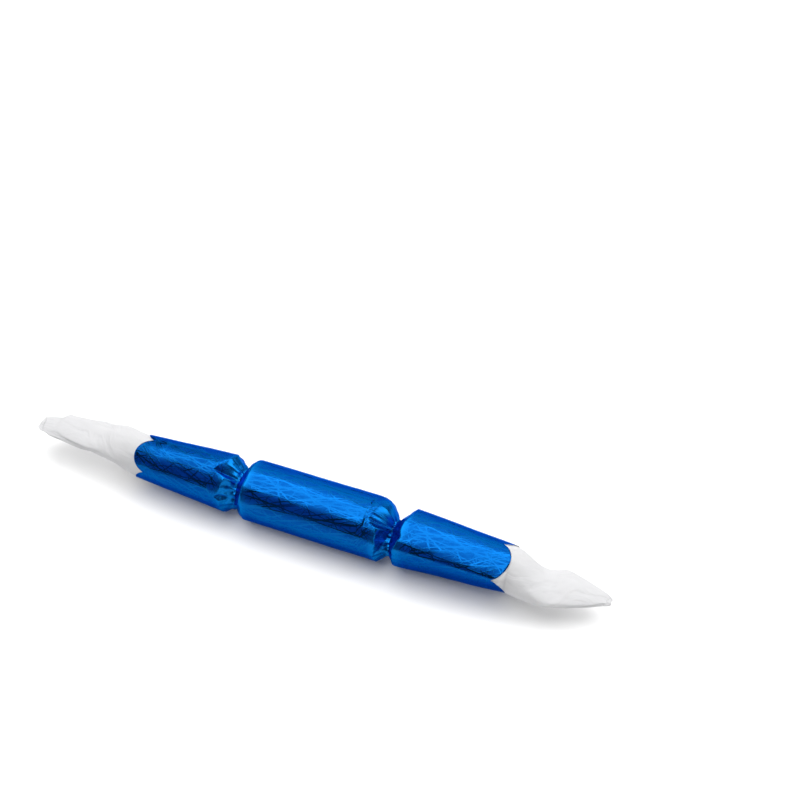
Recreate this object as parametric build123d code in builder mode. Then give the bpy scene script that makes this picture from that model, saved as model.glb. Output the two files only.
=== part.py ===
"""Christmas cracker: foil paper choked into a barrel and two ends, lined with white tissue.

Millimetres. X runs along the cracker, Z is up, and the barrel rests on Z = 0.
"""

import math
import os

from build123d import *

os.makedirs("parts", exist_ok=True)

# Rolled layers: each is a ring of arcs with one flat facet, where the barrel rests
facets = 24
facet_step = 360 / facets
rest_angle = -90
foil_wall = 0.25
tissue_wall = 0.2
card_wall = 0.6
layer_gap = 0.06

# Barrel, the middle part; the foil rounds over past the right end of the card tube
barrel_radius = 15.0
barrel_half = 33.5
crown_length = 6.0
crown_drop = 0.6

# Chokes, each a pleated neck between the rims of the barrel and an end
choke_span = 11.5
neck_half = 1.65
pleat_depth = 1.4
tear_gap = 0.1
neck_clearance = 0.3
# A pleated wall is brought in by more than its thickness, because its sides lean
pleat_pinch = 1.4

# Ends, which narrow to a scalloped mouth
end_drop = 0.8
end_length = 50.0
mouth_taper = 3.2
scallop_count = 4
scallop_depth = 5.2
left_lobe_angle = 126
right_lobe_angle = 115

# Lap seam of the wrapper, low on the back
lap_angle = -40
lap_spread = 30

# Tissue tails, flattened sleeves that run on past the mouths
left_tail = 58.0
right_tail = 46.0
tail_mid = 0.42
tail_far = 0.78
tail_mid_width = 10.4
tail_mid_height = 6.2
tail_far_width = 7.4
tail_far_height = 3.0
tail_tip_width = 4.2
tail_tip_height = 1.1
tail_sink = 2.0
fold_count = 3
fold_share = 0.08

# Snap: two card strips that overlap inside a paper band
snap_width = 8.0
snap_wall = 0.4
snap_overlap = 22.0
snap_reach = 8.0
snap_rest = 14.0
snap_tip_drop = 4.6
snap_bend_room = 1.0
snap_turn_inset = 0.4
patch_length = 8.0
patch_width = 5.0
patch_wall = 0.1
patch_gap = 0.1
patch_offset = 5.0
band_length = 26.0
band_wall = 0.2
band_clearance = 0.15
glue_length = 6.0
glue_width = 3.2
glue_wall = 0.45
glue_inset = 4.0
glue_line = 0.02

# Contents, which lie loose in the lower half of the barrel
content_play = 3.0
content_clearance = 0.15
content_margin = 0.5
content_room = 1.3
hat_wall = 0.5
hat_gap = 0.3
hat_turns = 4
hat_angle = -115
motto_radius = 2.6
motto_wall = 0.25
motto_gap = 0.25
motto_turns = 3
motto_angle = -53
motto_short = 5.0
top_length = 17.0
top_disc_wall = 2.6
top_disc_cone = 2.4
top_disc_place = 6.0
spindle_radius = 1.2
spindle_point = 1.6
spindle_fit = 0.02

# Sizes that follow from those above
axis_z = barrel_radius * math.cos(math.radians(facet_step / 2))
barrel_x = (left_tail - right_tail) / 2
tissue_inset = foil_wall + layer_gap
lining_inset = tissue_inset + tissue_wall
tube_radius = barrel_radius - lining_inset - layer_gap
tube_bore = tube_radius - card_wall
crown_x = barrel_half - crown_length
tube_left = -barrel_half + lining_inset + layer_gap
tube_right = crown_x - lining_inset
neck_x = barrel_half + choke_span / 2
end_rim = barrel_half + choke_span
end_radius = barrel_radius - end_drop
mouth_x = end_rim + end_length
mouth_radius = end_radius - mouth_taper
snap_half = snap_width / 2
strip_low = patch_gap / 2 + patch_wall
strip_high = strip_low + snap_wall
band_half = snap_half + band_clearance + band_wall
band_high = strip_high + band_clearance + band_wall
neck_bore = math.hypot(band_half, band_high) + neck_clearance
neck_inner = neck_bore + pleat_pinch * lining_inset
neck_outer = neck_inner + pleat_depth
overcut = 1.0
tail_lengths = {-1: left_tail, 1: right_tail}
lobe_angles = {-1: left_lobe_angle, 1: right_lobe_angle}


def polar(radius, angle):
    """A point of a cross-section, with the angle in degrees from the back towards the top."""
    turn = math.radians(angle)
    return (radius * math.cos(turn), radius * math.sin(turn))


def corner(k):
    """The angle of the k-th corner of a rolled layer's cross-section."""
    return rest_angle + facet_step * (k + 0.5)


def across(x):
    """The plane across the cracker at a distance x from the middle of the barrel."""
    return Plane(origin=(barrel_x + x, 0, axis_z), x_dir=(0, 1, 0), z_dir=(1, 0, 0))


def ring(x, radius):
    """A rolled layer's outline: arcs, and one straight facet underneath."""
    with BuildSketch(across(x)) as outline:
        with BuildLine():
            for k in range(facets - 1):
                middle = corner(k) + facet_step / 2
                ThreePointArc(polar(radius, corner(k)), polar(radius, middle), polar(radius, corner(k + 1)))
            Line(polar(radius, corner(facets - 1)), polar(radius, corner(0)))
        make_face()
    return outline.sketch


def star(x, outer, inner):
    """The pleated outline of a neck, with its corners in line with a ring's."""
    with BuildSketch(across(x)) as outline:
        with BuildLine():
            Polyline(*[polar(inner if k % 2 else outer, corner(k)) for k in range(facets)], close=True)
        make_face()
    return outline.sketch


def sleeve(x, half_width, half_height, sink):
    """A flattened tissue sleeve's outline, with soft folds along it."""
    points = []
    for k in range(facets):
        turn = math.radians(corner(k))
        fold = 1 + fold_share * math.cos(fold_count * turn)
        points.append((half_width * fold * math.cos(turn), half_height * fold * math.sin(turn) - sink))
    with BuildSketch(across(x)) as outline:
        with BuildLine():
            Polyline(*points, close=True)
        make_face()
    return outline.sketch


def lap(x, radius):
    """The end of the sheet where it laps over its own start."""
    inner = radius - foil_wall / 2
    outer = radius + foil_wall
    angles = [lap_angle - lap_spread / 2, lap_angle, lap_angle + lap_spread / 2]
    with BuildSketch(across(x)) as outline:
        with BuildLine():
            ThreePointArc(*[polar(outer, angle) for angle in angles])
            Line(polar(outer, angles[-1]), polar(inner, angles[-1]))
            ThreePointArc(*[polar(inner, angle) for angle in reversed(angles)])
            Line(polar(inner, angles[0]), polar(outer, angles[0]))
        make_face()
    return outline.sketch


def neck(x, inset, length, mode):
    """A straight length of pleated neck that starts at x."""
    pinch = pleat_pinch * inset
    extrude(star(x, neck_outer - pinch, neck_inner - pinch), amount=length, mode=mode)


def shoulder(neck_place, rim_place, rim_radius, inset, mode):
    """The pleats that spread from a neck to a rim."""
    pinch = pleat_pinch * inset
    pleats = star(neck_place, neck_outer - pinch, neck_inner - pinch)
    loft([pleats, ring(rim_place, rim_radius)], ruled=True, mode=mode)


def barrel_form(inset, over, mode):
    """The closed shape of the barrel from tear line to tear line, brought in by inset."""
    radius = barrel_radius - inset
    rim = barrel_half - inset
    fold = neck_x - neck_half - inset
    tear = neck_x - tear_gap / 2 + over
    extrude(ring(-rim, radius), amount=rim + crown_x, mode=mode)
    loft([ring(crown_x, radius), ring(rim, radius - crown_drop)], ruled=True, mode=mode)
    shoulder(-fold, -rim, radius, inset, mode)
    shoulder(fold, rim, radius - crown_drop, inset, mode)
    neck(-tear, inset, tear - fold, mode)
    neck(fold, inset, tear - fold, mode)


def end_form(side, inset, over, mode):
    """The closed shape of an end from its tear line to its mouth, brought in by inset."""
    rim = end_rim + inset
    fold = neck_x + neck_half + inset
    tear = neck_x + tear_gap / 2 - over
    neck(side * tear, inset, side * (fold - tear), mode)
    shoulder(side * fold, side * rim, end_radius - inset, inset, mode)
    rim_outline = ring(side * rim, end_radius - inset)
    loft([rim_outline, ring(side * mouth_x, mouth_radius - inset)], ruled=True, mode=mode)


def tail_form(side, inset, over, mode):
    """The closed shape of a tissue tail beyond the mouth, brought in by inset."""
    length = tail_lengths[side]
    middle = side * (mouth_x + tail_mid * length)
    far = side * (mouth_x + tail_far * length)
    tip = side * (mouth_x + length)
    thin = inset - tissue_inset
    outlines = [
        ring(side * mouth_x, mouth_radius - inset),
        sleeve(middle, tail_mid_width - thin, tail_mid_height - thin, 0),
        sleeve(far, tail_far_width - thin, tail_far_height - thin, tail_sink / 2),
        sleeve(tip + side * over, tail_tip_width - thin, tail_tip_height - thin, tail_sink),
    ]
    for near, next_out in zip(outlines, outlines[1:]):
        loft([near, next_out], ruled=True, mode=mode)


def scallops(side):
    """Cuts the valleys between the round lobes of a mouth."""
    lobe_half = 180 / scallop_count
    half_chord = mouth_radius * math.sin(math.radians(lobe_half))
    lobe_radius = (half_chord**2 + scallop_depth**2) / (2 * scallop_depth)
    half_turn = math.atan2(half_chord, lobe_radius - scallop_depth) / 2
    middle_x = lobe_radius * (math.cos(half_turn) - 1)
    middle_y = half_chord - lobe_radius * math.sin(half_turn)
    valley = (-scallop_depth, 0)
    for k in range(scallop_count):
        turn = math.radians(lobe_angles[side] + lobe_half * (2 * k + 1))
        outward = (0, math.cos(turn), math.sin(turn))
        at_mouth = (barrel_x + side * mouth_x, 0, axis_z)
        with BuildSketch(Plane(origin=at_mouth, x_dir=(side, 0, 0), z_dir=outward)) as valley_face:
            with BuildLine():
                ThreePointArc((0, -half_chord), (middle_x, -middle_y), valley)
                ThreePointArc(valley, (middle_x, middle_y), (0, half_chord))
                Line((0, half_chord), (overcut, half_chord))
                Line((overcut, half_chord), (overcut, -half_chord))
                Line((overcut, -half_chord), (0, -half_chord))
            make_face()
        extrude(valley_face.sketch, amount=barrel_radius, mode=Mode.SUBTRACT)


def cone_radius(x):
    """The wrapper's outer radius at a distance x from the middle of the barrel, in an end."""
    return end_radius - mouth_taper * (x - end_rim) / end_length


def strip_ceiling(x):
    """How high above the axis a strip's top face may lie under the lining of an end."""
    return math.sqrt((cone_radius(x) - lining_inset) ** 2 - snap_half**2) - content_clearance


def along(side):
    """The upright plane along the cracker, with its x axis towards one end."""
    return Plane(origin=(barrel_x, 0, axis_z), x_dir=(side, 0, 0), z_dir=(0, -side, 0))


# Where a strip bends: out of the neck, up under the lining, and over at the mouth
bend_x = neck_x + neck_half + snap_bend_room
lift_x = mouth_x - snap_rest
turn_x = mouth_x - snap_turn_inset
lift_z = strip_ceiling(lift_x)
turn_z = strip_ceiling(turn_x)
tip_z = turn_z - snap_tip_drop
glue_x = lift_x + glue_inset
glue_slope = (turn_z - lift_z) / (turn_x - lift_x)
glue_z = lift_z + glue_slope * glue_inset


def strip(side, top):
    """A snap strip from its overlap to its tip, with its top face at a height top in the barrel."""
    bends = [(-snap_overlap / 2, top), (bend_x, top), (lift_x, lift_z), (turn_x, turn_z)]
    bends.append((mouth_x + snap_reach, tip_z))
    under = [(x, z - snap_wall) for x, z in reversed(bends)]
    with BuildSketch(along(side)) as outline:
        with BuildLine():
            Polyline(*bends, *under, close=True)
        make_face()
    extrude(outline.sketch, amount=snap_half, both=True)


def glue(side):
    """A glue dab between a strip's top face and the lining."""
    rise = glue_slope * glue_length
    low = glue_z + glue_line
    with BuildSketch(along(side)) as outline:
        with BuildLine():
            Polyline(
                (glue_x, low),
                (glue_x + glue_length, low + rise),
                (glue_x + glue_length, low + rise + glue_wall),
                (glue_x, low + glue_wall),
                close=True,
            )
        make_face()
    extrude(outline.sketch, amount=glue_width / 2, both=True)


def patch(x, z):
    """A thin pad of compound on a strip, with its underside at a height z."""
    with BuildSketch(Plane.XY.offset(axis_z + z)) as outline:
        with Locations((barrel_x + x, 0)):
            Rectangle(patch_length, patch_width)
    extrude(outline.sketch, amount=patch_wall)


def scroll(x, length, radius, wall, gap, turns, angle):
    """A rolled sheet that lies on the tube's wall at an angle round the barrel."""
    place = tube_bore - radius - content_clearance
    y, z = polar(place, angle)
    half_step = (wall + gap) / 2
    middle = 0.0
    reach = radius
    outer = []
    inner = []
    for k in range(2 * turns):
        way = -1 if k % 2 else 1
        for line, size in ((outer, reach), (inner, reach - wall)):
            line.append([(middle + way * size, 0), (middle, way * size), (middle - way * size, 0)])
        middle = middle - way * half_step
        reach = reach - half_step
    roll_plane = Plane(origin=(barrel_x + x, y, axis_z + z), x_dir=(0, 1, 0), z_dir=(1, 0, 0))
    with BuildSketch(roll_plane) as outline:
        with BuildLine():
            for arc in outer + inner:
                ThreePointArc(*arc)
            Line(outer[0][0], inner[0][0])
            Line(outer[-1][-1], inner[-1][-1])
        make_face()
    extrude(outline.sketch, amount=length)


# Foil wrapper
with BuildPart() as wrapper_barrel:
    barrel_form(0, 0, Mode.ADD)
    extrude(lap(-barrel_half, barrel_radius), amount=barrel_half + crown_x)
    barrel_form(foil_wall, overcut, Mode.SUBTRACT)

wrapper_barrel.part.label = "wrapper_barrel"
export_step(wrapper_barrel.part, "parts/wrapper_barrel.step")

for side, end_name in ((-1, "left"), (1, "right")):
    with BuildPart() as wrapper_end:
        end_form(side, 0, 0, Mode.ADD)
        lap_end = mouth_x - scallop_depth
        loft([lap(side * end_rim, end_radius), lap(side * lap_end, cone_radius(lap_end))], ruled=True)
        end_form(side, foil_wall, overcut, Mode.SUBTRACT)
        scallops(side)
    wrapper_end.part.label = "wrapper_" + end_name + "_end"
    export_step(wrapper_end.part, "parts/" + wrapper_end.part.label + ".step")

# Tissue lining and its tails
with BuildPart() as tissue_barrel:
    barrel_form(tissue_inset, 0, Mode.ADD)
    barrel_form(lining_inset, overcut, Mode.SUBTRACT)

tissue_barrel.part.label = "tissue_barrel"
export_step(tissue_barrel.part, "parts/tissue_barrel.step")

for side, end_name in ((-1, "left"), (1, "right")):
    with BuildPart() as tissue_tail:
        end_form(side, tissue_inset, 0, Mode.ADD)
        tail_form(side, tissue_inset, 0, Mode.ADD)
        end_form(side, lining_inset, overcut, Mode.SUBTRACT)
        tail_form(side, lining_inset, overcut, Mode.SUBTRACT)
    tissue_tail.part.label = "tissue_" + end_name + "_tail"
    export_step(tissue_tail.part, "parts/" + tissue_tail.part.label + ".step")

# Card tube
with BuildPart() as barrel_tube:
    extrude(ring(tube_left, tube_radius), amount=tube_right - tube_left)
    extrude(ring(tube_left, tube_bore), amount=tube_right - tube_left, mode=Mode.SUBTRACT)

barrel_tube.part.label = "barrel_tube"
export_step(barrel_tube.part, "parts/barrel_tube.step")

# Snap: the left strip runs under the right one
for side, end_name, top in ((-1, "left", -strip_low), (1, "right", strip_high)):
    with BuildPart() as snap_strip:
        strip(side, top)
    snap_strip.part.label = "snap_strip_" + end_name
    export_step(snap_strip.part, "parts/" + snap_strip.part.label + ".step")

    with BuildPart() as snap_glue:
        glue(side)
    snap_glue.part.label = "snap_glue_" + end_name
    export_step(snap_glue.part, "parts/" + snap_glue.part.label + ".step")

with BuildPart() as snap_charge:
    patch(patch_offset, -strip_low)

snap_charge.part.label = "snap_charge"
export_step(snap_charge.part, "parts/snap_charge.step")

with BuildPart() as snap_striker:
    patch(-patch_offset, patch_gap / 2)

snap_striker.part.label = "snap_striker"
export_step(snap_striker.part, "parts/snap_striker.step")

with BuildPart() as snap_band:
    with BuildSketch(across(-band_length / 2)):
        Rectangle(2 * band_half, 2 * band_high)
        Rectangle(2 * (band_half - band_wall), 2 * (band_high - band_wall), mode=Mode.SUBTRACT)
    extrude(amount=band_length)

snap_band.part.label = "snap_band"
export_step(snap_band.part, "parts/snap_band.step")

# Contents: the top lies to the left, the hat and the motto side by side to the right
room_under = tube_bore * math.cos(math.radians(facet_step / 2)) - band_high
roll_radius = room_under / 2 - content_room
top_left = tube_left + content_play + content_margin
hat_left = top_left + top_length + 2 * content_play + content_margin
hat_length = tube_right - hat_left

with BuildPart() as paper_hat:
    scroll(hat_left, hat_length, roll_radius, hat_wall, hat_gap, hat_turns, hat_angle)

paper_hat.part.label = "paper_hat"
export_step(paper_hat.part, "parts/paper_hat.step")

with BuildPart() as motto_slip:
    scroll(
        hat_left, hat_length - motto_short, motto_radius, motto_wall, motto_gap, motto_turns, motto_angle
    )

motto_slip.part.label = "motto_slip"
export_step(motto_slip.part, "parts/motto_slip.step")

top_z = axis_z - tube_bore * math.cos(math.radians(facet_step / 2)) + content_clearance + roll_radius
top_axis = Axis((barrel_x, 0, top_z), (1, 0, 0))
top_plane = Plane(origin=(barrel_x + top_left, 0, top_z), x_dir=(1, 0, 0), z_dir=(0, -1, 0))
disc_end = top_disc_place + top_disc_wall

with BuildPart() as top_disc:
    with BuildSketch(top_plane):
        with BuildLine():
            Polyline(
                (top_disc_place - top_disc_cone, spindle_radius + spindle_fit),
                (disc_end, spindle_radius + spindle_fit),
                (disc_end, roll_radius),
                (top_disc_place, roll_radius),
                (top_disc_place - top_disc_cone, 2 * spindle_radius),
                close=True,
            )
        make_face()
    revolve(axis=top_axis)

top_disc.part.label = "top_disc"
export_step(top_disc.part, "parts/top_disc.step")

with BuildPart() as top_spindle:
    with BuildSketch(top_plane):
        with BuildLine():
            Polyline(
                (0, 0),
                (top_length, 0),
                (top_length, spindle_radius),
                (spindle_point, spindle_radius),
                close=True,
            )
        make_face()
    revolve(axis=top_axis)

top_spindle.part.label = "top_spindle"
export_step(top_spindle.part, "parts/top_spindle.step")
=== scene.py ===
import bisect
import math
import random

import bmesh
import bpy
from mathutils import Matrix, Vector, noise


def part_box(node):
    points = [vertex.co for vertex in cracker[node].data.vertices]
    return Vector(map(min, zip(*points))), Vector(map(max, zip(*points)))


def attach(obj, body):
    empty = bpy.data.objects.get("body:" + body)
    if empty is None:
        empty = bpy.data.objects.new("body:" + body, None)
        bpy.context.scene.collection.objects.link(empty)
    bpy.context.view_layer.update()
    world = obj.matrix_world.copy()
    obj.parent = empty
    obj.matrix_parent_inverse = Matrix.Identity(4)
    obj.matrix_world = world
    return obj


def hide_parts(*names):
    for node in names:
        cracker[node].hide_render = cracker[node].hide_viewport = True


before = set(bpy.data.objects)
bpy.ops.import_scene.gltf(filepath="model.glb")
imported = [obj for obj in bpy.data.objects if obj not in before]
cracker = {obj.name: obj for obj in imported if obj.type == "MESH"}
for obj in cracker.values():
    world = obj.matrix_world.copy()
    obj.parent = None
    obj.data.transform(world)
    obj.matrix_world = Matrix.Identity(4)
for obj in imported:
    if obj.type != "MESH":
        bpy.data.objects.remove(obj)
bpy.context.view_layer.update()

# Lengths below are in millimetres, as on the maker's drawing
MM = 0.001
BARREL_X = 6.0
AXIS_Z = 14.872

# Angles are in degrees from the back (+Y) towards the top (+Z); side is -1 left and 1 right

# Foil barrel
BARREL_RADIUS = 15.0
BARREL_SLACK = 0.1
BARREL_DENT = 0.22
TUBE_END = 27.6
TUBE_STEP = 0.55
TUBE_EDGE = 0.4
TUBE_SLOPE = 2.2
TUBE_MIDDLE = 100.0
TUBE_SPAN = 32.0

# Chokes and the tear line in each
TEAR_X = 39.25
TEAR_GAP = 0.05
TEAR_LIP = 0.35
TEAR_TEETH = 44
TOOTH = 0.15
LIP_LIFT = 0.14
LIP_RUN = 1.5
NECK_HALF = 0.5
NECK_LOW = {-1: 9.3, 1: 8.0}
NECK_SAG = {-1: 1.6, 1: 2.4}
SAG_ANGLE = 250.0
NECK_FOLD = 1.6
FOLD_WIDTHS = (0.35, 1.65)
FOLD_HEIGHTS = (0.3, 1.0)
NECK_FLAT = 2.0
NECK_FADE = 7.0
PLEAT_STEP = 0.4
FAN_DEEP = 0.16
FAN_RUN = 7.0
CRUSH = 1.3
CRUSH_SWELL = 3.2
CRUSH_END = 1.12
FACET_LENGTH = 3.4
FACET_ROUND = 2.4

# Foil ends
END_RIM = 45.0
END_RADIUS = 14.2
END_TAPER = 3.2
END_LENGTH = 50.0
END_DENT = 0.25
MOUTH_X = END_RIM + END_LENGTH
MOUTH_RADIUS = END_RADIUS - END_TAPER
MOUTH_SHIFT = {-1: -1.2, 1: 0.8}
SCALLOP_FROM = 78.0
SCALLOP_DEPTH = 6.0
LOBE_SPAN = 90.0
LEFT_LOBE = 126.0
RIGHT_LOBE = 115.0
CREASE_START = 155.0
CREASE_TURN = 0.08
CREASE_RUN = 60.0
CREASE_DROP = 45.0
CREASE_RISE = 3.0
CREASE_FADE = 0.5
CREASE_BLUNT = (-4.0, -2.0, 0.0, 2.0, 4.0)

# Every wrapper
LAP_START = -55.0
LAP_OVER = 30.0
LAP_LIFT = 0.2
LAP_FROM = 335.0
LAP_RUN = 25.0
FOIL_THICK = 0.1
FLOOR_CLEAR = 0.02
DENT_BROAD = (21.0, 1.3)
DENT_SMALL = (7.0, 3.1)
DENT_SHARE = 0.25

# Tissue paper
LINING_INSET = 0.33
NECK_INSET = 2.0
TISSUE_THICK = 0.05
TISSUE_WIDTH = 95.0
LAYER_STEP = 0.11
MOST_TURN = 800.0
PACKED_BELOW = 2.5
LOOSE_RUN = 14.0
RAGGED = 0.8
RAGGED_STEP = 4.0
BROAD_CREASE = 0.05
BROAD_CREASE_LEAN = 17.0
SMALL_CREASE = 0.03
SMALL_CREASE_LEAN = 9.0
BROAD_RUCK = 0.075
BROAD_RUCK_SIZE = (11.0, 1.9)
SMALL_RUCK = 0.022
SMALL_RUCK_SIZE = (4.5, 4.5)

# Rolled slips
ROLL_CLEAR = 0.05
ROLL_START = 40.0
ROLL_ROWS = 40
ROLL_THICK = 0.08
WRINKLE_LENGTH = 6.0

# Fold tables of the chokes: angle from the back towards the top, how far the rim lies from
# the tear line, how full the shoulder is (1 is a straight cone), and how crushed it is
BARREL_LEFT_RIM = [
    (0, 5.3, 1.6, 0.6), (40, 5.6, 1.5, 0.6), (75, 5.2, 1.7, 0.6), (110, 5.6, 1.5, 0.6),
    (150, 5.3, 1.7, 0.6), (185, 5.6, 1.5, 0.6), (230, 5.2, 1.7, 0.6), (275, 5.6, 1.5, 0.6),
    (320, 5.3, 1.6, 0.6),
]
BARREL_RIGHT_RIM = [
    (0, 8.5, 2.2, 0.7), (30, 10.5, 3.0, 0.5), (60, 11.6, 3.4, 0.2), (86, 11.6, 2.3, 0.08),
    (104, 11.2, 1.7, 0.05), (113, 10.6, 1.6, 0.05), (118, 10.2, 0.8, 0.05), (122, 9.6, 1.9, 0.05),
    (126, 9.0, 0.9, 0.2), (130, 5.6, 1.8, 0.3), (140, 5.0, 1.0, 1.0), (150, 4.9, 0.9, 1.0),
    (165, 4.6, 0.9, 1.0), (180, 4.8, 1.0, 1.0), (192, 5.4, 1.3, 0.7), (204, 4.5, 1.0, 0.8),
    (223, 4.7, 1.2, 0.7), (262, 7.0, 1.4, 0.8), (285, 5.6, 1.5, 0.8), (315, 8.4, 1.7, 0.8),
    (338, 6.4, 1.8, 0.8),
]
LEFT_END_RIM = [
    (0, 6.0, 1.2, 0.8), (28, 8.6, 1.1, 0.8), (52, 5.6, 1.3, 0.8), (78, 6.4, 1.3, 0.6),
    (91, 9.2, 1.7, 0.3), (104, 10.6, 1.0, 0.1), (113, 11.5, 0.8, 0.1), (124, 4.7, 1.5, 0.2),
    (137, 5.6, 1.1, 0.4), (150, 6.0, 1.2, 0.4), (160, 6.8, 1.0, 0.5), (166, 8.2, 0.8, 0.5),
    (174, 5.4, 1.3, 0.6), (195, 6.4, 1.1, 0.6), (216, 5.5, 1.2, 0.6), (250, 5.5, 1.2, 0.8),
    (285, 8.4, 1.0, 0.8), (318, 5.7, 1.2, 0.8),
]
RIGHT_END_RIM = [
    (0, 5.6, 1.2, 0.7), (45, 7.4, 1.2, 0.6), (75, 8.2, 1.3, 0.5), (95, 6.2, 1.4, 0.7),
    (110, 5.2, 1.5, 1.0), (124, 5.6, 1.4, 1.1), (134, 6.2, 1.1, 1.1), (143, 5.2, 1.4, 1.1),
    (152, 4.4, 1.5, 1.2), (169, 3.9, 1.5, 1.3), (190, 3.6, 1.5, 1.3), (216, 3.4, 1.5, 1.2),
    (240, 3.8, 1.4, 1.0), (262, 5.2, 1.2, 0.8), (300, 7.2, 1.0, 0.8), (330, 5.4, 1.2, 0.8),
]

# Tissue tails: distance from the middle, half width, half height, shift to the back, shift up
RIGHT_TAIL = [
    (95.0, 10.67, 10.67, 0.0, 0.0), (99.0, 10.8, 10.2, -1.0, -0.4), (104.0, 10.2, 8.2, -2.5, -1.0),
    (110.0, 10.0, 4.9, -3.6, -1.8), (115.0, 10.6, 3.9, -2.8, -1.9), (119.0, 10.9, 3.4, -1.6, -1.4),
    (126.0, 8.7, 2.4, -0.2, -2.0), (133.0, 6.1, 1.4, 0.6, -2.2), (138.0, 3.9, 0.8, 1.1, -2.2),
    (140.2, 3.0, 0.5, 0.8, -2.2), (141.5, 1.9, 0.3, 0.6, -2.2),
]
LEFT_TAIL = [
    (95.0, 10.67, 10.67, 0.0, 0.0), (99.0, 10.7, 10.1, 0.4, 0.3), (107.0, 11.1, 7.6, 1.2, 1.3),
    (118.0, 10.2, 3.8, 1.6, 1.6), (124.0, 10.0, 3.0, 1.8, 1.5), (130.0, 9.4, 2.5, 1.8, 1.3),
    (141.0, 8.5, 1.8, 2.3, 1.0), (144.2, 8.2, 1.6, 2.7, 0.8), (145.2, 7.05, 1.5, 1.7, 0.5),
    (149.0, 5.8, 1.1, 1.6, 0.4), (152.0, 5.2, 0.7, 1.5, 0.35), (154.5, 3.6, 0.3, 1.7, 0.3),
]


def folds(seed, count):
    """Edges and heights of the unequal folds round a choke."""
    dice = random.Random(seed)
    widths = [dice.uniform(*FOLD_WIDTHS) for _ in range(count)]
    edges = [0.0]
    for width in widths:
        edges.append(edges[-1] + 360 * width / sum(widths))
    return edges, [dice.uniform(*FOLD_HEIGHTS) for _ in widths]


CHOKES = {-1: folds(11, 17), 1: folds(23, 18)}


def fold_height(choke, angle):
    """How high the paper stands in the folds of a choke, from 0 in a valley."""
    edges, heights = choke
    turn = angle % 360
    k = min(bisect.bisect_right(edges, turn) - 1, len(heights) - 1)
    share = (turn - edges[k]) / (edges[k + 1] - edges[k])
    return heights[k] * (1 - abs(2 * share - 1))


def round_rim(rim, angle):
    """The values of a shoulder at an angle, in line between its table's rows."""
    turn = angle % 360
    rows = rim + [(360 + rim[0][0], *rim[0][1:])]
    k = bisect.bisect_right([row[0] for row in rows], turn) - 1
    low, high = rows[k], rows[k + 1]
    share = (turn - low[0]) / (high[0] - low[0])
    return [a + (b - a) * share for a, b in zip(low[1:], high[1:])]


def tooth(angle):
    """The zigzag of the tear line round the neck."""
    share = (angle * TEAR_TEETH / 360) % 1
    return TOOTH * (1 - 2 * abs(2 * share - 1))


def crushed(along, angle):
    """The sharp-edged facets of crushed paper, from 0 to 1."""
    turn = math.radians(angle)
    spot = (along / FACET_LENGTH, FACET_ROUND * math.cos(turn), FACET_ROUND * math.sin(turn))
    return min(noise.voronoi(Vector(spot), distance_metric="MANHATTAN")[0][0], 1.0)


def choked(along, angle, body, side, rim):
    """The paper's radius at a signed distance along from the tear line of a side's choke."""
    q = abs(along)
    pleat = fold_height(CHOKES[side], angle)
    reach, fullness, crush = round_rim(rim, angle)
    reach += PLEAT_STEP * (1 - pleat)
    sag = NECK_SAG[side] * math.cos(math.radians(angle - SAG_ANGLE))
    neck = NECK_LOW[side] + sag + NECK_FOLD * pleat
    fan = FAN_DEEP * (0.5 - pleat) * math.exp(-max(q - reach, 0) / FAN_RUN)
    left = 1 - max(q - NECK_HALF, 0) / (reach - NECK_HALF)
    if left <= 0:
        return body - fan
    crush *= CRUSH * crushed(along, angle) * min(CRUSH_SWELL * left * (CRUSH_END - left), 1)
    return body - (body - neck) * left**fullness - fan * (1 - left) - crush


def dent(x, angle, deep):
    """The soft hollows of handled paper."""
    turn = math.radians(angle)
    across = Vector((math.cos(turn), math.sin(turn)))
    length, spots = DENT_BROAD
    broad = noise.noise(Vector((x / length, spots * across.x, spots * across.y + 4)))
    length, spots = DENT_SMALL
    small = noise.noise(Vector((x / length, spots * across.x + 9, spots * across.y)))
    return deep * (broad + DENT_SHARE * small)


def tube_end(x, angle):
    """The crease on top where the foil drops off the end of the card tube."""
    off = x - TUBE_END
    across = math.exp(-off / TUBE_SLOPE) if off > 0 else math.exp(-((off / TUBE_EDGE) ** 2))
    return TUBE_STEP * across * math.exp(-(((angle - TUBE_MIDDLE) / TUBE_SPAN) ** 4))


def barrel_radius(x, angle):
    """The foil's radius in the barrel part."""
    body = BARREL_RADIUS - BARREL_SLACK + dent(x, angle, BARREL_DENT)
    body -= tube_end(x, angle % 360)
    along = abs(x) - TEAR_X
    if x < 0:
        return choked(along, angle, body, -1, BARREL_LEFT_RIM)
    return choked(along, angle, body, 1, BARREL_RIGHT_RIM)


def pressed(x, angle):
    """The long crease on the right end's front, soft at the choke and sharper at the mouth."""
    along = max(x - END_RIM, 0)
    off = angle - (CREASE_START + CREASE_TURN * along)
    rise = CREASE_RISE * (CREASE_FADE + (1 - CREASE_FADE) * along / END_LENGTH)
    total = 0.0
    for blunt in CREASE_BLUNT:
        run = CREASE_RUN if off + blunt < 0 else CREASE_DROP
        total += max(1 - abs(off + blunt) / run, 0) ** 2
    return rise * total / len(CREASE_BLUNT)


def tapered(x):
    """The plain radius of an end, which narrows to its mouth."""
    return END_RADIUS - END_TAPER * (x - END_RIM) / END_LENGTH


def end_radius(side, x, angle):
    """The foil's radius in an end, at a distance x from the middle of the barrel."""
    body = tapered(max(x, END_RIM)) + dent(side * x, angle, END_DENT)
    if side < 0:
        return choked(x - TEAR_X, angle, body, -1, LEFT_END_RIM)
    body += pressed(x, angle % 360)
    return choked(x - TEAR_X, angle, body, 1, RIGHT_END_RIM)


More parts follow.
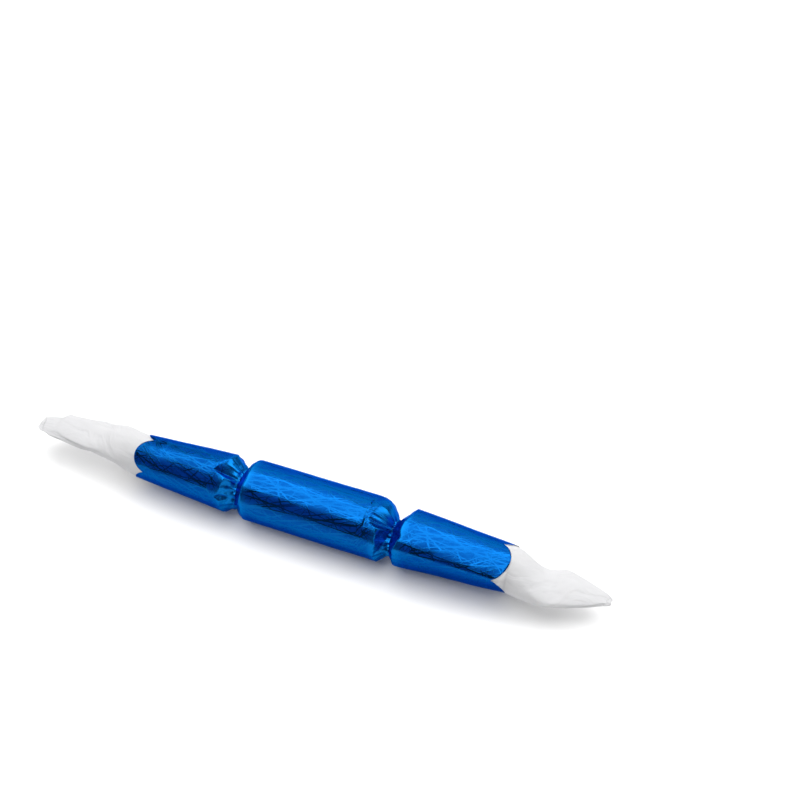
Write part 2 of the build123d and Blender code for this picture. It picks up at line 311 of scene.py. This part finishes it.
def scallop(side, angle):
    """How far the edge of a mouth lies behind the tips of its lobes."""
    lobe = LEFT_LOBE if side < 0 else RIGHT_LOBE
    off = (angle - lobe + LOBE_SPAN / 2) % LOBE_SPAN - LOBE_SPAN / 2
    chord = math.radians(LOBE_SPAN / 2) * MOUTH_RADIUS
    curve = (chord**2 + SCALLOP_DEPTH**2) / (2 * SCALLOP_DEPTH)
    return curve - math.sqrt(curve**2 - (math.radians(off) * MOUTH_RADIUS) ** 2)


def spread(*runs):
    """Rows along a sheet: each run is its start, its end and how many rows it has."""
    rows = []
    for start, end, count in runs:
        rows += [start + (end - start) * k / count for k in range(count)]
    return rows + [runs[-1][1]]


def at(x, radius, angle):
    """A place on the cracker in metres, kept just above the surface that it lies on."""
    turn = math.radians(angle)
    height = max(AXIS_Z + radius * math.sin(turn), FLOOR_CLEAR)
    return Vector((BARREL_X + x, radius * math.cos(turn), height)) * MM


def lap_lift(angle):
    """How far the wrapper's last stretch lies over its start."""
    over = (angle - LAP_START - LAP_FROM) / LAP_RUN
    over = min(max(over, 0), 1)
    return LAP_LIFT * over * over * (3 - 2 * over)


def paper(name, rows, columns, flat, place, thick, materials):
    """A flat sheet, laid out as a grid and rolled, gathered and cut to the places given.

    The first material is on the outside and the last one on the inside and the cut edges.
    """
    sheet = bmesh.new()
    bmesh.ops.create_grid(sheet, x_segments=len(rows) - 1, y_segments=columns, size=0.5)
    on_sheet = sheet.loops.layers.uv.new("on_sheet")
    choke = sheet.verts.layers.float.new("near_choke")
    for face in sheet.faces:
        face.smooth = True
        for loop in face.loops:
            share = loop.vert.co
            loop[on_sheet].uv = ((share.x + 0.5) * flat[1], (share.y + 0.5) * flat[0])
    for vert in sheet.verts:
        row = rows[round((vert.co.x + 0.5) * (len(rows) - 1))]
        vert.co, vert[choke] = place(row, vert.co.y + 0.5)
    sheet.normal_update()
    middle = Vector((0, 0, AXIS_Z * MM))
    outwards = 0.0
    for face in sheet.faces:
        centre = face.calc_center_median() - middle
        outwards += face.normal.y * centre.y + face.normal.z * centre.z
    if outwards < 0:
        bmesh.ops.reverse_faces(sheet, faces=sheet.faces)
    mesh = bpy.data.meshes.new(name)
    sheet.to_mesh(mesh)
    sheet.free()
    piece = bpy.data.objects.new(name, mesh)
    bpy.context.collection.objects.link(piece)
    for material in materials:
        mesh.materials.append(material)
    wall = piece.modifiers.new("paper", "SOLIDIFY")
    wall.thickness = thick * MM
    wall.offset = -1
    wall.material_offset = len(materials) - 1
    wall.material_offset_rim = len(materials) - 1
    return piece


def near_choke(q):
    """1 in a neck, falling to 0 out on the paper's smooth part."""
    return math.exp(-((max(q - NECK_FLAT, 0) / NECK_FADE) ** 2))


def lip(q):
    """How far the torn edge on the outside of a choke lies over the one inside it."""
    return LIP_LIFT * max(1 - max(q, 0) / LIP_RUN, 0)


def inner(inset, q):
    """How far a lining lies under the foil, deeper in the folds of a choke."""
    return inset * (1 + NECK_INSET * near_choke(q))


def torn(angle, q):
    """How far the tear line's zigzag moves the paper along, at its edge only."""
    return tooth(angle) * max(1 - abs(q) / NECK_HALF, 0)


def barrel_sheet(inset, lift):
    """Rolls the barrel's sheet, brought in by inset, with its left torn edge on the outside."""

    def place(x, share):
        angle = LAP_START + share * (360 + LAP_OVER)
        q = TEAR_X - abs(x)
        radius = barrel_radius(x, angle) - inner(inset, q) + lift * lap_lift(angle)
        if x < 0 and not inset:
            radius += lip(q)
        return at(x + torn(angle, q), radius, angle), near_choke(q)

    return place


def end_sheet(side):
    """Rolls an end's sheet and cuts its scalloped mouth."""

    def place(x, share):
        angle = LAP_START + share * (360 + LAP_OVER)
        if x > SCALLOP_FROM:
            cut = 1 - (scallop(side, angle) - MOUTH_SHIFT[side]) / (MOUTH_X - SCALLOP_FROM)
            x = SCALLOP_FROM + (x - SCALLOP_FROM) * cut
        q = x - TEAR_X
        radius = end_radius(side, x, angle) + lap_lift(angle)
        if side > 0:
            radius += lip(q)
        return at(side * x + torn(angle, q), radius, angle), near_choke(q)

    return place


def along_tail(rows, x):
    """The tail's size and place at x, on a smooth curve through the table's rows."""
    k = min(max(bisect.bisect_right([row[0] for row in rows], x) - 1, 0), len(rows) - 2)
    low, high = rows[k], rows[k + 1]
    before, after = rows[max(k - 1, 0)], rows[min(k + 2, len(rows) - 1)]
    gap = high[0] - low[0]
    t = (x - low[0]) / gap
    values = []
    for a, b, c, d in zip(before[1:], low[1:], high[1:], after[1:]):
        rise = (c - a) / (high[0] - before[0]) * gap
        fall = (d - b) / (after[0] - low[0]) * gap
        h0, h1 = 2 * t**3 - 3 * t**2 + 1, t**3 - 2 * t**2 + t
        h2, h3 = 3 * t**2 - 2 * t**3, t**3 - t**2
        values.append(h0 * b + h1 * rise + h2 * c + h3 * fall)
    return values


def oval_girth(wide, high):
    """The way round an oval, from its half width and half height."""
    return math.pi * (3 * (wide + high) - math.sqrt((3 * wide + high) * (wide + 3 * high)))


def tail_sheet(side, tail, slant, slant_width):
    """Rolls a tail's tissue: gathered in the choke, lying in the end, then drawn flat."""
    tip = tail[-1][0]

    def place(x, share):
        out = share * TISSUE_WIDTH
        if x > MOUTH_X:
            ragged = RAGGED * noise.noise(Vector((out / RAGGED_STEP, 7.7 * side, 0)))
            back = slant * max(1 - out / slant_width, 0) + ragged
            x = MOUTH_X + (x - MOUTH_X) * (1 - back / (tip - MOUTH_X))
        if x <= END_RIM:
            turn = 360 + LAP_OVER
        else:
            if x <= MOUTH_X:
                girth = 2 * math.pi * (tapered(x) - LINING_INSET)
            else:
                girth = oval_girth(*along_tail(tail, x)[:2])
            turn = min(max(360 * TISSUE_WIDTH / girth, 360 + LAP_OVER), MOST_TURN)
        angle = LAP_START - share * turn
        deeper = LAYER_STEP * share * turn / 360
        q = x - TEAR_X
        if x <= MOUTH_X:
            radius = end_radius(side, x, angle) - inner(LINING_INSET, q) - deeper
            return at(side * x + torn(angle, q), radius, angle), near_choke(q)
        wide, high, back, up = along_tail(tail, x)
        loose = min((x - MOUTH_X) / LOOSE_RUN, 1)
        bend = math.radians(angle)
        across, above = math.cos(bend), math.sin(bend)
        crease = BROAD_CREASE * math.sin(3 * bend + 0.9 + x / BROAD_CREASE_LEAN)
        crease += SMALL_CREASE * math.sin(5 * bend + x / SMALL_CREASE_LEAN)
        length, spots = BROAD_RUCK_SIZE
        ruck = noise.noise(Vector((x / length, spots * across, spots * above + 3 * side)))
        length, spots = SMALL_RUCK_SIZE
        fine = noise.noise(Vector((x / length, spots * across, spots * above - 5 * side)))
        swell = 1 + loose * (crease + BROAD_RUCK * ruck + SMALL_RUCK * fine)
        packed = deeper * min(high / PACKED_BELOW, 1)
        y = (wide * swell - packed) * across + back
        z = (high * swell - packed) * above + up
        return Vector((BARREL_X + side * x, y, AXIS_Z + z)) * MM, 0.0

    return place


def roll_sheet(node, turns, pitch, wrinkle):
    """Rolls a slip of paper in the room that a node takes inside the barrel."""
    low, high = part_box(node)
    middle = (low + high) / 2 / MM
    radius = min(high.y - low.y, high.z - low.z) / 2 / MM - ROLL_CLEAR

    def place(x, share):
        bend = math.radians(360 * turns * share + ROLL_START)
        across, above = math.cos(bend), math.sin(bend)
        size = radius - pitch * turns * share
        ruck = noise.noise(Vector((x / WRINKLE_LENGTH, 2 * across, 2 * above)))
        size *= 1 - wrinkle * (0.5 + 0.5 * ruck)
        return Vector((x, middle.y + size * across, middle.z + size * above)) * MM, 0.0

    rows = spread((low.x / MM + ROLL_CLEAR, high.x / MM - ROLL_CLEAR, ROLL_ROWS))
    unrolled = 2 * math.pi * turns * (radius - pitch * turns / 2)
    return rows, (unrolled * MM, high.x - low.x), place


# Finishes


def finish_start(name):
    """An empty material with its shader and output joined."""
    material = bpy.data.materials.new(name)
    material.use_nodes = True
    tree = material.node_tree
    tree.nodes.clear()
    output = tree.nodes.new("ShaderNodeOutputMaterial")
    shader = tree.nodes.new("ShaderNodeBsdfPrincipled")
    tree.links.new(shader.outputs["BSDF"], output.inputs["Surface"])
    return material, tree, shader


def mixed(tree, first, second, share):
    """Puts a share of a second shader into the first one; the share may be a socket."""
    both = tree.nodes.new("ShaderNodeMixShader")
    if isinstance(share, float):
        both.inputs["Fac"].default_value = share
    else:
        tree.links.new(share, both.inputs["Fac"])
    tree.links.new(first.outputs["BSDF"], both.inputs[1])
    tree.links.new(second.outputs["BSDF"], both.inputs[2])
    output = next(n for n in tree.nodes if n.type == "OUTPUT_MATERIAL")
    tree.links.new(both.outputs["Shader"], output.inputs["Surface"])


def sums(tree, kind, first, second):
    """Reckons with two values, either of which may be a socket."""
    node = tree.nodes.new("ShaderNodeMath")
    node.operation = kind
    for socket, value in zip(node.inputs, (first, second)):
        if isinstance(value, (int, float)):
            socket.default_value = value
        else:
            tree.links.new(value, socket)
    return node.outputs["Value"]


def ramp(tree, value, start, end, low, high, soft=True):
    """Stretches a value from one range to another."""
    node = tree.nodes.new("ShaderNodeMapRange")
    node.interpolation_type = "SMOOTHSTEP" if soft else "LINEAR"
    tree.links.new(value, node.inputs["Value"])
    ends = (("From Min", start), ("From Max", end), ("To Min", low), ("To Max", high))
    for name, number in ends:
        node.inputs[name].default_value = number
    return node.outputs["Result"]


def places(tree, uv, shift=(0, 0, 0), turn=0.0, size=(1, 1, 1)):
    """Coordinates on the piece or on its flat sheet, moved, turned and stretched."""
    source = tree.nodes.new("ShaderNodeUVMap" if uv else "ShaderNodeTexCoord")
    if uv:
        source.uv_map = uv
    mapping = tree.nodes.new("ShaderNodeMapping")
    mapping.inputs["Location"].default_value = shift
    mapping.inputs["Rotation"].default_value = (0, 0, turn)
    mapping.inputs["Scale"].default_value = size
    tree.links.new(source.outputs["UV" if uv else "Object"], mapping.inputs["Vector"])
    return mapping.outputs["Vector"]


def cloudy(tree, vector, scale, detail=2.0, rough=0.5, twist=0.0):
    """Soft noise of a given number of spots to the metre."""
    node = tree.nodes.new("ShaderNodeTexNoise")
    node.inputs["Scale"].default_value = scale
    node.inputs["Detail"].default_value = detail
    node.inputs["Roughness"].default_value = rough
    node.inputs["Distortion"].default_value = twist
    tree.links.new(vector, node.inputs["Vector"])
    return node.outputs["Fac"]


def tint(tree, value, low, high):
    """A colour between two, by a value from 0 to 1; the low one may be a socket."""
    node = tree.nodes.new("ShaderNodeMix")
    node.data_type = "RGBA"
    tree.links.new(value, node.inputs["Factor"])
    if isinstance(low, tuple):
        node.inputs[6].default_value = (*low, 1)
    else:
        tree.links.new(low, node.inputs[6])
    node.inputs[7].default_value = (*high, 1)
    return node.outputs[2]


def relief(tree, shader, height, deep, under=None):
    """Raises the surface by a height map, over another relief if one is given."""
    node = tree.nodes.new("ShaderNodeBump")
    node.inputs["Strength"].default_value = 1.0
    node.inputs["Distance"].default_value = deep * MM
    tree.links.new(height, node.inputs["Height"])
    if under is not None:
        tree.links.new(under, node.inputs["Normal"])
    if shader is not None:
        tree.links.new(node.outputs["Normal"], shader.inputs["Normal"])
    return node.outputs["Normal"]


# Hair lines of the embossing: curls to the metre, how far they bend, width, boldness,
# how far their directions spread, and spacings
HAIRS = [
    (26, 10, 1.05, 1.0, 0.35, (6.2, 7.6, 9.3)),
    (36, 8, 0.95, 1.0, 0.5, (5.8, 7.0, 8.4)),
    (50, 6, 0.8, 0.9, 0.7, (5.4, 6.4, 7.6)),
    (72, 4.5, 0.6, 0.7, 0.95, (4.4, 5.3, 6.3)),
    (110, 3, 0.42, 0.45, 1.3, (3.0, 3.7, 4.4)),
]


def curled(tree, scale, reach, shift):
    """Coordinates on the flat sheet, bent so that straight lines curl."""
    flat = places(tree, "on_sheet")
    node = tree.nodes.new("ShaderNodeTexNoise")
    node.inputs["Scale"].default_value = scale
    node.inputs["Detail"].default_value = 0.0
    tree.links.new(places(tree, "on_sheet", (shift, shift, 0)), node.inputs["Vector"])
    bend = tree.nodes.new("ShaderNodeVectorMath")
    bend.operation = "MULTIPLY_ADD"
    tree.links.new(node.outputs["Color"], bend.inputs[0])
    bend.inputs[1].default_value = (reach * MM, reach * MM, 0)
    tree.links.new(flat, bend.inputs[2])
    return bend.outputs["Vector"]


def strands(tree, bent, turn, step, wide):
    """Thin lines a step apart on bent coordinates, 1 along the middle of each line."""
    mapping = tree.nodes.new("ShaderNodeMapping")
    mapping.vector_type = "TEXTURE"
    mapping.inputs["Rotation"].default_value = (0, 0, turn)
    mapping.inputs["Scale"].default_value = (step * MM, 1, 1)
    tree.links.new(bent, mapping.inputs["Vector"])
    split = tree.nodes.new("ShaderNodeSeparateXYZ")
    tree.links.new(mapping.outputs["Vector"], split.inputs["Vector"])
    off = sums(tree, "PINGPONG", split.outputs["X"], 0.5)
    return ramp(tree, off, 0.4 * wide / (2 * step), wide / (2 * step), 1.0, 0.0)


def tangle(tree):
    """A tangle of curled lines, long bold ones over short fine ones, all over the sheet."""
    lines = None
    for k, (scale, reach, wide, bold, fan, steps) in enumerate(HAIRS):
        bent = curled(tree, scale, reach, 0.37 * k)
        patches = places(tree, "on_sheet", (0.5 * k, 0.9, 0))
        shown = ramp(tree, cloudy(tree, patches, 1.5 * scale, 1.0, 0.5), 0.37, 0.49, 0.0, bold)
        for j, step in enumerate(steps):
            turn = math.pi / 2 + fan * (j - 1) + 0.2 * (k - 1.5)
            layer = sums(tree, "MULTIPLY", strands(tree, bent, turn, step, wide), shown)
            lines = layer if lines is None else sums(tree, "MAXIMUM", lines, layer)
    return lines


def blue_foil():
    """Metallised blue paper, brushed, with polished hair lines, crumpled in the chokes, and painted
    highlight near them.
    """
    material, tree, shader = finish_start("blue_foil")
    sheet = places(tree, "on_sheet")
    grain = cloudy(tree, sheet, 2600, 2.0, 0.6)
    attribute = tree.nodes.new("ShaderNodeAttribute")
    attribute.attribute_name = "near_choke"
    choke = attribute.outputs["Fac"]
    lines = sums(tree, "MULTIPLY", tangle(tree), ramp(tree, choke, 0.2, 0.7, 1.0, 0.15))
    drawn_out = places(tree, "on_sheet", (0, 0, 0), 0.0, (0.35, 1.0, 1.0))
    crumple = sums(tree, "MULTIPLY", cloudy(tree, drawn_out, 700, 3.0, 0.6, 0.6), choke)
    waves = cloudy(tree, sheet, 70, 1.0, 0.5)
    normal = relief(tree, None, waves, 0.35)
    normal = relief(tree, None, crumple, 0.05, normal)
    normal = relief(tree, None, grain, 0.006, normal)
    relief(tree, shader, lines, 0.02, normal)
    # Near the chokes the foil is smoother, and its colour is brighter with less blue lacquer:
    # painted highlight that lights up the crumpled folds
    choke_polish_and_highlight = ramp(tree, choke, 0.25, 0.8, 0.0, 1.0)
    colour = tint(tree, lines, (0.002, 0.095, 0.33), (0.002, 0.085, 0.30))
    colour = tint(tree, choke_polish_and_highlight, colour, (0.003, 0.14, 0.43))
    tree.links.new(colour, shader.inputs["Base Color"])
    brushed = ramp(tree, grain, 0.3, 0.7, 0.34, 0.42)
    polish = ramp(tree, lines, 0.0, 1.0, 1.0, 0.25, False)
    polish = sums(tree, "MULTIPLY", polish, ramp(tree, choke_polish_and_highlight, 0.0, 1.0, 1.0, 0.8, False))
    tree.links.new(sums(tree, "MULTIPLY", brushed, polish), shader.inputs["Roughness"])
    shader.inputs["Metallic"].default_value = 1.0
    shader.inputs["Specular Tint"].default_value = (0.1, 0.4, 0.9, 1)
    lacquer = tree.nodes.new("ShaderNodeBsdfDiffuse")
    deep_blue = tint(tree, grain, (0.0005, 0.009, 0.29), (0.0005, 0.013, 0.34))
    tree.links.new(deep_blue, lacquer.inputs["Color"])
    share = ramp(tree, lines, 0.0, 1.0, 0.35, 0.0, False)
    share = sums(tree, "MULTIPLY", share, ramp(tree, choke_polish_and_highlight, 0.0, 1.0, 1.0, 0.35, False))
    mixed(tree, shader, lacquer, share)
    return material


def white_paper(name):
    """The wrapper's white side and its cut edges, and the motto's slip."""
    material, tree, shader = finish_start(name)
    fibre = cloudy(tree, places(tree, "on_sheet", (0, 0, 0), 0.0, (0.4, 1, 1)), 1800, 3.0, 0.6)
    colour = tint(tree, fibre, (0.74, 0.75, 0.78), (0.86, 0.87, 0.89))
    tree.links.new(colour, shader.inputs["Base Color"])
    relief(tree, shader, fibre, 0.02)
    shader.inputs["Roughness"].default_value = 0.75
    return material


def white_tissue():
    """Thin white tissue that lets some light through, with fine fibres and soft wrinkles."""
    material, tree, shader = finish_start("white_tissue")
    sheet = places(tree, "on_sheet", (0, 0, 0), 0.0, (0.45, 1, 1))
    fibre = cloudy(tree, sheet, 1500, 3.0, 0.65)
    cloud = cloudy(tree, places(tree, "on_sheet"), 70, 2.0, 0.5)
    drawn_out = places(tree, "on_sheet", (2, 5, 0), 0.0, (0.35, 1, 1))
    wrinkle = cloudy(tree, drawn_out, 170, 2.0, 0.5, 0.8)
    normal = relief(tree, None, wrinkle, 1.3)
    relief(tree, shader, fibre, 0.015, normal)
    colour = tint(tree, cloud, (0.83, 0.83, 0.84), (0.88, 0.88, 0.89))
    tree.links.new(colour, shader.inputs["Base Color"])
    tree.links.new(ramp(tree, fibre, 0.3, 0.7, 0.75, 0.92), shader.inputs["Roughness"])
    glow = tree.nodes.new("ShaderNodeBsdfTranslucent")
    tree.links.new(colour, glow.inputs["Color"])
    mixed(tree, shader, glow, 0.40)
    return material


def fibrous(name, low, high, scale, deep, rough):
    """Card or paper, with fibres of two shades along the strip."""
    material, tree, shader = finish_start(name)
    fibre = cloudy(tree, places(tree, None, (0, 0, 0), 0.0, (0.35, 1, 1)), scale, 4.0, 0.65)
    speck = cloudy(tree, places(tree, None), scale * 0.2, 2.0, 0.5)
    speck = sums(tree, "MULTIPLY", speck, 0.3)
    shade = sums(tree, "ADD", sums(tree, "MULTIPLY", fibre, 0.7), speck)
    colour = tint(tree, ramp(tree, shade, 0.3, 0.7, 0.0, 1.0), low, high)
    tree.links.new(colour, shader.inputs["Base Color"])
    matt = ramp(tree, fibre, 0.3, 0.7, rough - 0.08, rough + 0.08)
    tree.links.new(matt, shader.inputs["Roughness"])
    relief(tree, shader, fibre, deep)
    return material


def gritty(name, low, high, scale, deep, rough):
    """A dried pad of grains."""
    material, tree, shader = finish_start(name)
    node = tree.nodes.new("ShaderNodeTexVoronoi")
    node.inputs["Scale"].default_value = scale
    tree.links.new(places(tree, None), node.inputs["Vector"])
    grain = node.outputs["Distance"]
    colour = tint(tree, ramp(tree, grain, 0.1, 0.6, 0.0, 1.0), high, low)
    tree.links.new(colour, shader.inputs["Base Color"])
    matt = ramp(tree, grain, 0.0, 0.6, rough - 0.1, rough + 0.1)
    tree.links.new(matt, shader.inputs["Roughness"])
    relief(tree, shader, grain, deep)
    return material


def moulded_red():
    """Glossy red plastic with faint moulding marks."""
    material, tree, shader = finish_start("red_plastic")
    cloud = cloudy(tree, places(tree, None), 260, 3.0, 0.5)
    colour = tint(tree, cloud, (0.50, 0.02, 0.02), (0.60, 0.035, 0.03))
    tree.links.new(colour, shader.inputs["Base Color"])
    tree.links.new(ramp(tree, cloud, 0.3, 0.7, 0.22, 0.36), shader.inputs["Roughness"])
    relief(tree, shader, cloud, 0.02)
    return material


def turned_wood():
    """Pale wood with its grain along the spindle."""
    material, tree, shader = finish_start("spindle_wood")
    grain = cloudy(tree, places(tree, None, (0, 0, 0), 0.0, (0.08, 1, 1)), 2200, 4.0, 0.6, 0.4)
    year = ramp(tree, grain, 0.35, 0.65, 0, 1)
    colour = tint(tree, year, (0.46, 0.29, 0.14), (0.66, 0.47, 0.27))
    tree.links.new(colour, shader.inputs["Base Color"])
    tree.links.new(ramp(tree, grain, 0.3, 0.7, 0.55, 0.7), shader.inputs["Roughness"])
    relief(tree, shader, grain, 0.03)
    return material


def hat_tissue():
    """Thin coloured tissue of the folded hat."""
    material, tree, shader = finish_start("hat_tissue")
    fibre = cloudy(tree, places(tree, "on_sheet", (0, 0, 0), 0.0, (0.5, 1, 1)), 1500, 3.0, 0.6)
    colour = tint(tree, fibre, (0.78, 0.50, 0.03), (0.88, 0.62, 0.06))
    tree.links.new(colour, shader.inputs["Base Color"])
    relief(tree, shader, fibre, 0.03)
    shader.inputs["Roughness"].default_value = 0.85
    return material


foil = blue_foil()
back = white_paper("paper_back")
tissue = white_tissue()
plain = fibrous("plain_paper", (0.62, 0.61, 0.56), (0.74, 0.73, 0.68), 900, 0.02, 0.8)
slip_paper = white_paper("slip_paper")
hat_paper = hat_tissue()

finishes = {
    "barrel_tube": fibrous("grey_card", (0.36, 0.33, 0.28), (0.50, 0.46, 0.40), 700, 0.04, 0.85),
    "snap_strip_left": fibrous("snap_card", (0.52, 0.49, 0.43), (0.68, 0.65, 0.58), 800, 0.03, 0.8),
    "snap_band": plain,
    "snap_charge": gritty("compound", (0.10, 0.10, 0.11), (0.22, 0.22, 0.24), 2600, 0.05, 0.7),
    "snap_striker": gritty("abrasive", (0.12, 0.08, 0.06), (0.30, 0.21, 0.16), 3200, 0.06, 0.85),
    "snap_glue_left": gritty("glue", (0.66, 0.60, 0.44), (0.76, 0.71, 0.55), 700, 0.05, 0.35),
    "top_disc": moulded_red(),
    "top_spindle": turned_wood(),
}
finishes["snap_strip_right"] = finishes["snap_strip_left"]
finishes["snap_glue_right"] = finishes["snap_glue_left"]
for node, material in finishes.items():
    for holder in cracker[node].material_slots:
        holder.material = material

# Columns round each sheet, and rows along it, closer together in the chokes
AROUND = 348
LINING_AROUND = 174
TAIL_AROUND = 240
HAT_AROUND = 260
MOTTO_AROUND = 160
PLAIN_FROM, PLAIN_TO = -32.5, 25.0
END_PLAIN_FROM = 52.0
TAIL_PLAIN_FROM = 50.0
BARREL_ROWS = spread(
    (-TEAR_X - TEAR_LIP, PLAIN_FROM, 32),
    (PLAIN_FROM, PLAIN_TO, 38),
    (PLAIN_TO, TEAR_X - TEAR_GAP, 46),
)
LINING_ROWS = spread(
    (-TEAR_X + TEAR_GAP, PLAIN_FROM, 30),
    (PLAIN_FROM, PLAIN_TO, 30),
    (PLAIN_TO, TEAR_X - TEAR_GAP, 40),
)
END_ROWS = {
    side: spread(
        (start, END_PLAIN_FROM, 44),
        (END_PLAIN_FROM, SCALLOP_FROM, 20),
        (SCALLOP_FROM, MOUTH_X, 26),
    )
    for side, start in ((-1, TEAR_X + TEAR_GAP), (1, TEAR_X - TEAR_LIP))
}

# Flat sizes
SHEET_WIDTH = 2 * math.pi * BARREL_RADIUS * (360 + LAP_OVER) / 360
BARREL_SHEET_LENGTH = 90.0
END_SHEET_LENGTH = 62.0
TAIL_SPARE = 6.0
BARREL_FLAT = (SHEET_WIDTH * MM, BARREL_SHEET_LENGTH * MM)
END_FLAT = (SHEET_WIDTH * MM, END_SHEET_LENGTH * MM)

# Side, its word, its tail, and how far and over what width the tail's outer corner is cut back
ENDS = ((-1, "left", LEFT_TAIL, 8.0, 34.0), (1, "right", RIGHT_TAIL, 5.0, 40.0))

# Wrapper and lining
rolled = barrel_sheet(0.0, 1.0)
foil_barrel = paper(
    "foil_barrel", BARREL_ROWS, AROUND, BARREL_FLAT, rolled, FOIL_THICK, [foil, back]
)
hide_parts("wrapper_barrel")
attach(foil_barrel, "barrel")

rolled = barrel_sheet(LINING_INSET, 0.5)
lining = paper(
    "tissue_lining", LINING_ROWS, LINING_AROUND, BARREL_FLAT, rolled, TISSUE_THICK, [tissue]
)
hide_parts("tissue_barrel")
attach(lining, "barrel")

for side, word, tail, slant, slant_width in ENDS:
    name = "foil_" + word + "_end"
    end = paper(name, END_ROWS[side], AROUND, END_FLAT, end_sheet(side), FOIL_THICK, [foil, back])
    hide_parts("wrapper_" + word + "_end")
    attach(end, word + "_end")
    tip = tail[-1][0]
    tail_rows = spread(
        (TEAR_X + TEAR_GAP, TAIL_PLAIN_FROM, 30),
        (TAIL_PLAIN_FROM, MOUTH_X, 22),
        (MOUTH_X, tip, 84),
    )
    tail_flat = (TISSUE_WIDTH * MM, (tip - TEAR_X + TAIL_SPARE) * MM)
    rolled = tail_sheet(side, tail, slant, slant_width)
    name = "tissue_" + word
    piece = paper(name, tail_rows, TAIL_AROUND, tail_flat, rolled, TISSUE_THICK, [tissue])
    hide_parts("tissue_" + word + "_tail")
    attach(piece, word + "_end")

# Hat and motto, rolled inside the barrel: turns, step between them, and how wrinkled
hat_rows, hat_flat, hat_place = roll_sheet("paper_hat", 4.5, 0.75, 0.05)
hat = paper("rolled_hat", hat_rows, HAT_AROUND, hat_flat, hat_place, ROLL_THICK, [hat_paper])
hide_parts("paper_hat")
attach(hat, "hat")
motto_rows, motto_flat, motto_place = roll_sheet("motto_slip", 3.2, 0.45, 0.02)
motto = paper(
    "rolled_motto", motto_rows, MOTTO_AROUND, motto_flat, motto_place, ROLL_THICK, [slip_paper]
)
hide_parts("motto_slip")
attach(motto, "motto")

# Floor
FLOOR_HALF = 2.5
FLOOR_LIFT = 0.03
ground = bmesh.new()
bmesh.ops.create_grid(ground, x_segments=1, y_segments=1, size=FLOOR_HALF)
floor_mesh = bpy.data.meshes.new("floor")
ground.to_mesh(floor_mesh)
ground.free()
floor = bpy.data.objects.new("floor", floor_mesh)
bpy.context.collection.objects.link(floor)
floor_finish, tree, shader = finish_start("pale_floor")
shader.inputs["Base Color"].default_value = (0.96, 0.96, 0.96, 1)
shader.inputs["Roughness"].default_value = 0.9
shader.inputs["Specular IOR Level"].default_value = 0.1
path = tree.nodes.new("ShaderNodeLightPath")
seen = sums(tree, "MAXIMUM", path.outputs["Is Camera Ray"], path.outputs["Is Glossy Ray"])
seen = sums(tree, "MAXIMUM", seen, path.outputs["Is Transmission Ray"])
shader.inputs["Emission Color"].default_value = (1, 1, 1, 1)
lift = sums(tree, "MULTIPLY", seen, FLOOR_LIFT)
tree.links.new(lift, shader.inputs["Emission Strength"])
floor_mesh.materials.append(floor_finish)


def softbox(name, place, aim, width, height, radiance):
    """A soft rectangular lamp of an even brightness."""
    lamp = bpy.data.lights.new(name, "AREA")
    lamp.shape = "RECTANGLE"
    lamp.size = width
    lamp.size_y = height
    lamp.energy = radiance * math.pi * width * height
    holder = bpy.data.objects.new(name, lamp)
    bpy.context.collection.objects.link(holder)
    holder.location = place
    holder.rotation_euler = (Vector(aim) - Vector(place)).to_track_quat("-Z", "Y").to_euler()


# Lamps: name, place, what it points at, width, height and brightness, in metres.
# They hang at different heights, so that no lamp hides another
LAMPS = [
    ("over", (-0.07, 0.75, 0.8), (-0.07, 0.75, 0.0), 1.35, 1.1, 0.68),
    ("key", (-0.42, 0.0, 1.6), (-0.42, 0.0, 0.0), 1.4, 1.7, 3.0),
    ("front", (-0.45, -1.13, 1.66), (-0.45, -1.13, 0.0), 0.9, 0.56, 3.3),
    ("behind", (-0.6, 1.75, 1.5), (-0.3, 0.0, 0.0), 1.5, 1.5, 0.9),
    ("low_back", (-0.1, 1.5, 0.4), (-0.1, 0.0, 0.1), 1.8, 0.55, 1.3),
    ("right", (0.73, 0.3, 0.76), (0.0, 0.0, 0.0), 0.7, 0.9, 3.2),
    ("low_right", (0.8, -0.7, 0.28), (0.05, 0.0, 0.02), 0.5, 0.4, 1.3),
    ("left", (-1.25, 0.1, 0.32), (0.0, 0.0, 0.0), 1.0, 0.5, 2.2),
]
for lamp in LAMPS:
    softbox(*lamp)

# Dim room round the stage, darker overhead
world = bpy.data.worlds.new("room")
bpy.context.scene.world = world
world.use_nodes = True
room = world.node_tree.nodes["Background"]
room.inputs["Color"].default_value = (1, 1, 1, 1)
sky = world.node_tree.nodes.new("ShaderNodeTexCoord")
height = world.node_tree.nodes.new("ShaderNodeSeparateXYZ")
world.node_tree.links.new(sky.outputs["Generated"], height.inputs["Vector"])
dim = ramp(world.node_tree, height.outputs["Z"], 0.15, 0.55, 0.12, 0.08)
world.node_tree.links.new(dim, room.inputs["Strength"])

# Camera, at the photograph's angle
CAMERA_DOWN = 42.5
CAMERA_ROUND = 22.16
view = bpy.data.cameras.new("camera")
view.lens = 54.0
view.sensor_width = 36.0
view.clip_start = 0.01
camera = bpy.data.objects.new("camera", view)
bpy.context.collection.objects.link(camera)
camera.location = (0.1853, -0.338, 0.4335)
camera.rotation_euler = (math.radians(90 - CAMERA_DOWN), 0, math.radians(CAMERA_ROUND))
bpy.context.scene.camera = camera
bpy.context.scene.view_settings.view_transform = "Standard"
